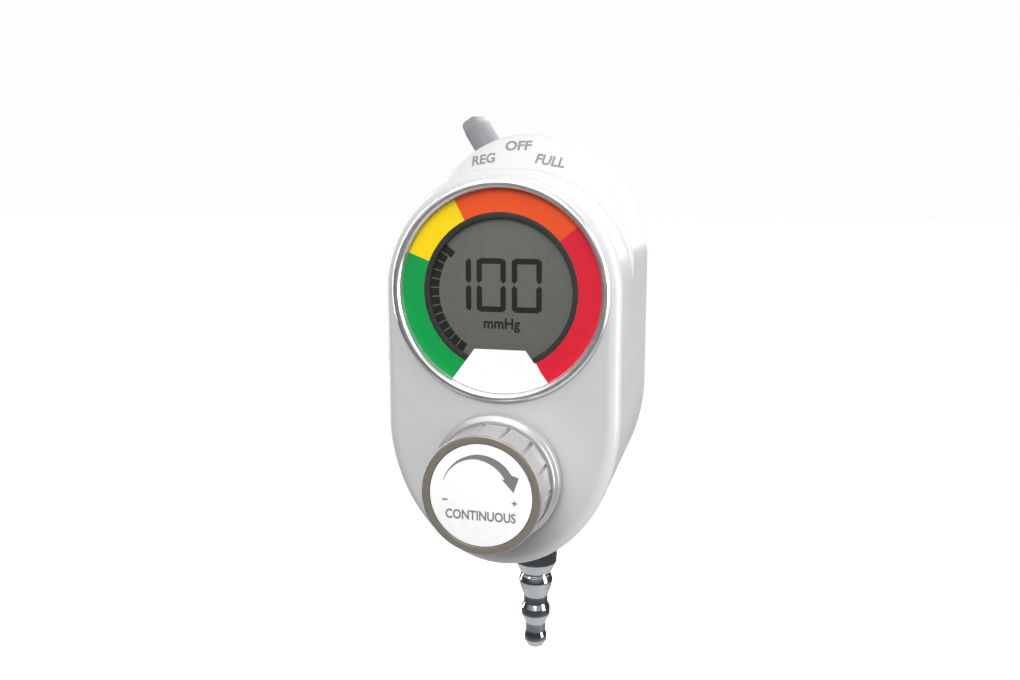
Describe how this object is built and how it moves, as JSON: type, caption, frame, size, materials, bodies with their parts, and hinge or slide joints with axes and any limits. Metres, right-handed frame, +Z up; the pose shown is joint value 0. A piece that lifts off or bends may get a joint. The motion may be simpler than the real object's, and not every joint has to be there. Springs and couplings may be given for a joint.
{
  "type": "wall suction regulator",
  "caption": "Wall-mounted digital vacuum regulator with a round gauge, selector lever, regulating knob, rear outlet probe and hose barb.",
  "frame": {"origin": "on the outlet probe's axis, at the rear face of the boss it comes out of, where the unit meets the wall outlet", "axes": "+Z up, +Y towards the wall along the probe, +X to the right seen from the front; the front faces -Y"},
  "size_m": [0.0692, 0.1437, 0.1831],
  "materials": {
    "housing": "satin moulded plastic, off-white",
    "cover": "satin moulded plastic, light grey",
    "knob": "satin grey plastic",
    "disc": "printed white label stock",
    "lever": "satin grey plastic",
    "dark": "dark brown plastic",
    "chrome": "polished plating",
    "steel": "plain steel",
    "aluminium": "machined, clear anodised",
    "brass": "machined",
    "rubber": "matt black elastomer",
    "lens": "clear flat window",
    "dial": "printed zones in green, yellow, orange and red, with a white field",
    "lcd": "grey-green liquid crystal panel",
    "black": "matt black plastic",
    "board": "green solder mask",
    "nylon": "natural nylon"
  },
  "bodies": {
    "housing": {"front_housing": "housing", "back_cover": "cover", "back_cover_screw_1": "steel", "back_cover_screw_2": "steel", "back_cover_screw_3": "steel", "back_cover_screw_4": "steel", "cover_gasket": "rubber", "manifold_block": "aluminium", "manifold_screw_1": "steel", "manifold_screw_2": "steel", "manifold_screw_3": "steel", "manifold_screw_4": "steel", "probe_nipple": "chrome", "probe_sleeve": "dark", "probe_seal": "rubber", "inlet_filter": "brass", "hose_barb": "chrome", "barb_seal": "rubber", "regulator_bonnet": "aluminium", "knob_bushing": "dark", "range_spring": "steel", "diaphragm": "rubber", "poppet_spring": "steel", "bonnet_screw_1": "steel", "bonnet_screw_2": "steel", "bonnet_screw_3": "steel", "bonnet_screw_4": "steel", "rotor_retainer": "steel", "retainer_screw_1": "steel", "retainer_screw_2": "steel", "detent_ball": "steel", "detent_spring": "steel", "gauge_bezel": "chrome", "gauge_lens": "lens", "dial_plate": "dial", "lcd_panel": "lcd", "lcd_frame": "black", "contact_strip": "rubber", "gauge_board": "board", "controller_chip": "black", "pressure_sensor": "nylon", "gauge_cup": "black", "board_screw_1": "steel", "board_screw_2": "steel", "board_screw_3": "steel", "battery_tray": "black", "battery_1": "steel", "battery_2": "steel", "sensor_tube": "nylon"},
    "knob": {"regulator_knob": "knob", "knob_disc": "disc", "regulator_stem": "steel", "knob_grub_screw": "steel"},
    "seat": {"spring_seat": "brass"},
    "selector": {"selector_lever": "lever", "selector_rotor": "brass", "selector_seal": "rubber", "lever_screw": "steel"},
    "diaphragm_stack": {"diaphragm_plate": "aluminium", "poppet": "brass"}
  },
  "joints": [
    {"name": "knob_turn", "type": "hinge", "parent": "housing", "child": "knob", "pos_m": [0, -0.079, -0.0184], "axis": [0, 1, 0], "range_deg": [-450, 630]},
    {"name": "seat_travel", "type": "slide", "parent": "housing", "child": "seat", "axis": [0, 1, 0], "range_m": [-0.0019, 0.00265], "deforming": ["range_spring"]},
    {"name": "selector_turn", "type": "hinge", "parent": "housing", "child": "selector", "pos_m": [0, -0.0277, 0.05], "axis": [0, 1, 0], "range_deg": [0, 64]},
    {"name": "diaphragm_stroke", "type": "slide", "parent": "housing", "child": "diaphragm_stack", "axis": [0, 1, 0], "range_m": [-0.0004, 0.0004], "stiffness_N_per_m": 400, "deforming": ["diaphragm", "poppet_spring"]}
  ],
  "couplings": [
    {"joint": "seat_travel", "follows": "knob_turn", "m_per_rad": 0.00023873}
  ]
}
